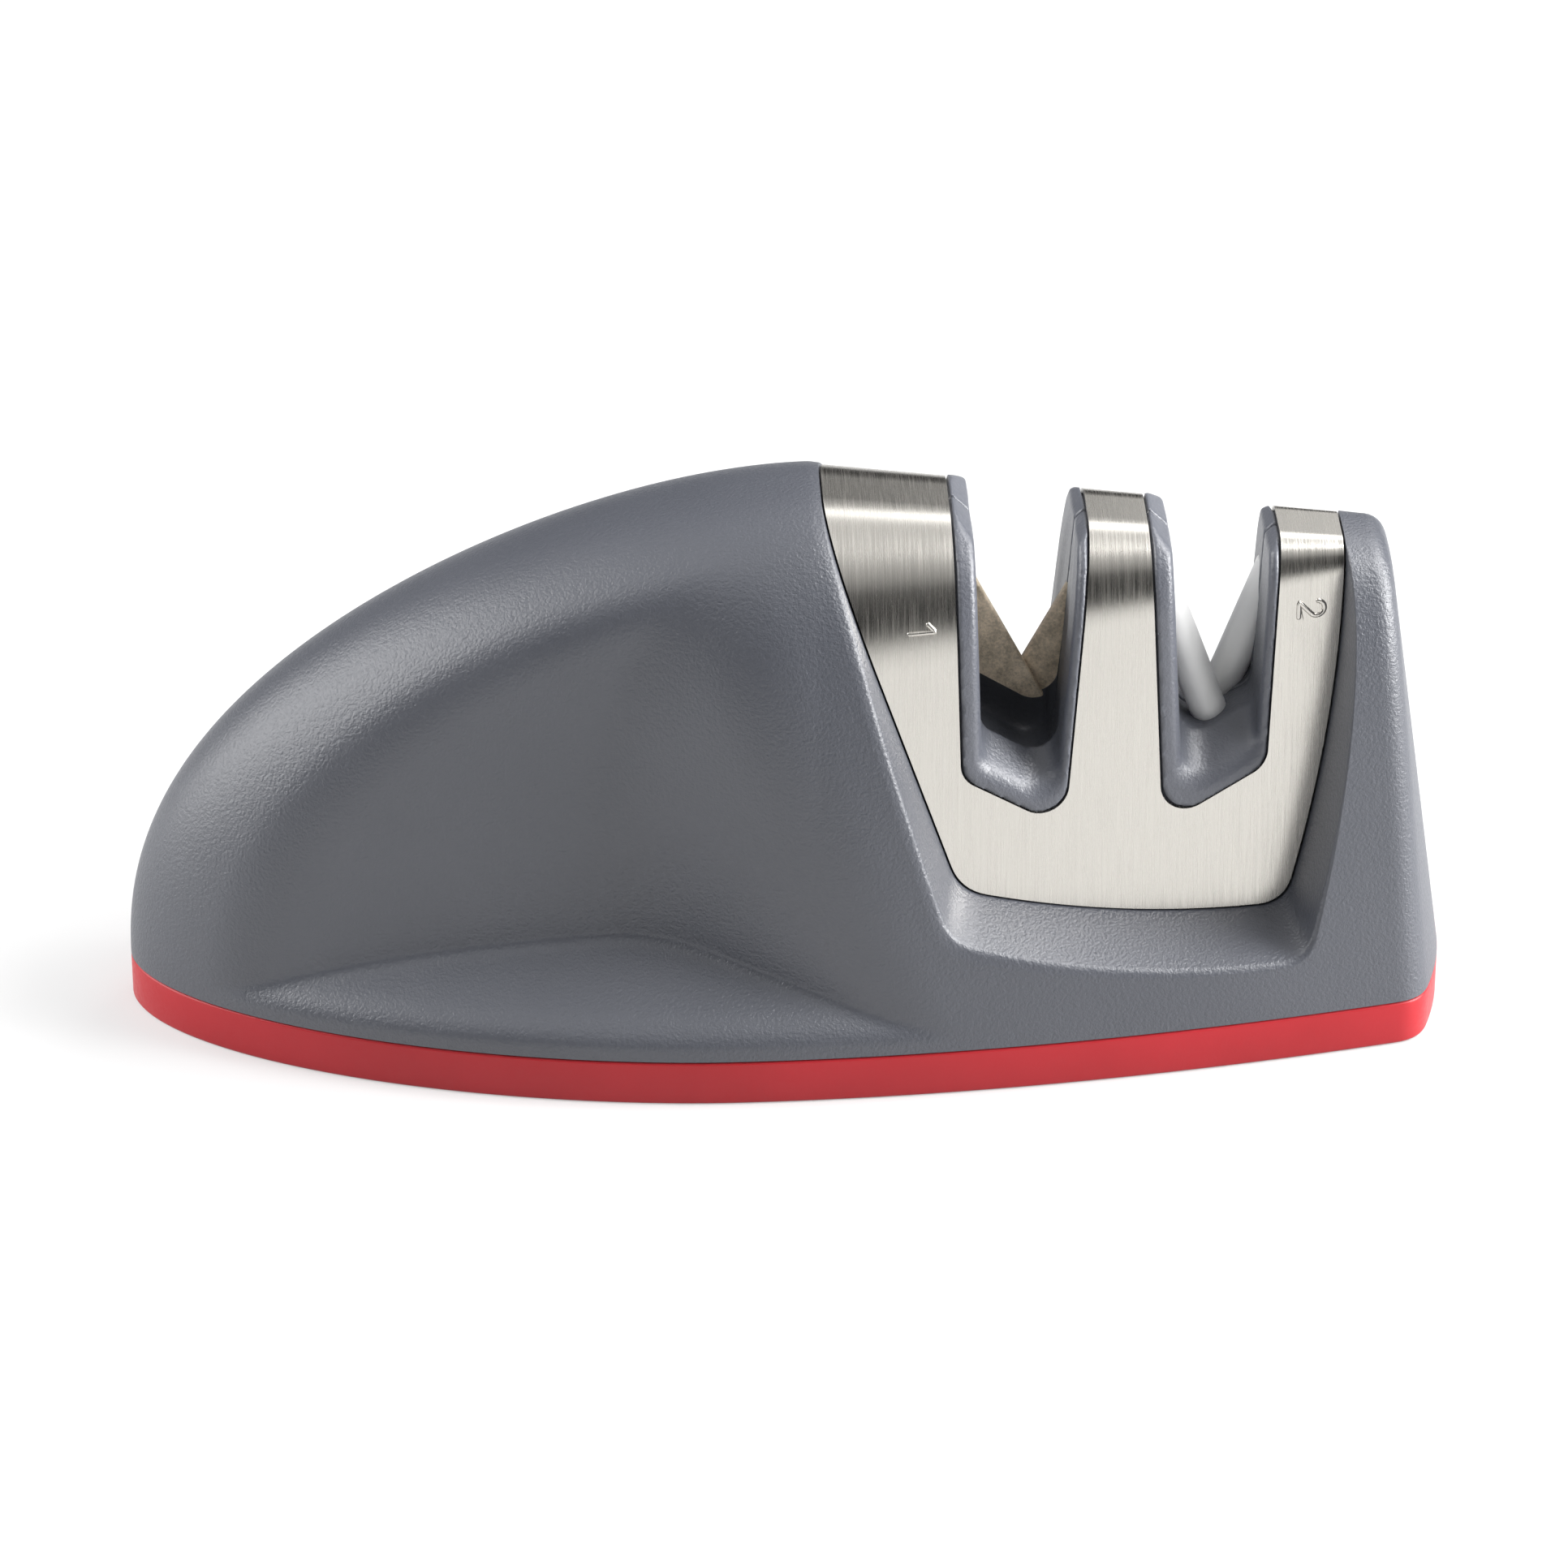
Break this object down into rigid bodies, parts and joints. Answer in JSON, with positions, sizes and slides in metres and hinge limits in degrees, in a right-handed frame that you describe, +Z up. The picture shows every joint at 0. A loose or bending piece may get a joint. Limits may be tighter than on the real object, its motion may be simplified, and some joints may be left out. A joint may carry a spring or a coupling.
{
  "type": "knife sharpener",
  "caption": "Domed pull-through knife sharpener with a coarse and a fine slot of crossed abrasives, a steel-faced head, finger recesses and a red non-slip sole.",
  "frame": {"origin": "centre of the footprint's bounding box, on the table", "axes": "+X from the round nose of the grip to the slot end, -Y the front, +Z up"},
  "size_m": [0.15, 0.054, 0.0639],
  "materials": {
    "shell": "satin, fine grain",
    "core": "satin, fine grain",
    "sole": "satin",
    "steel": "brushed along the height",
    "grit": "diamond grit coat",
    "ceramic": "smooth unglazed",
    "screw": "plain"
  },
  "bodies": {
    "root": {"anti_slip_sole": "sole", "base_plate": "shell", "housing": "shell", "steel_cover": "steel", "slot_core_front": "core", "slot_core_rear": "core", "coarse_bar_left": "grit", "coarse_bar_right": "grit", "fine_rod_left": "ceramic", "fine_rod_right": "ceramic", "base_screw_1": "screw", "base_screw_2": "screw", "base_screw_3": "screw", "base_screw_4": "screw", "base_screw_5": "screw", "core_screw_1": "screw", "core_screw_2": "screw", "core_screw_3": "screw", "head_screw_1": "screw", "head_screw_2": "screw"}
  },
  "joints": []
}
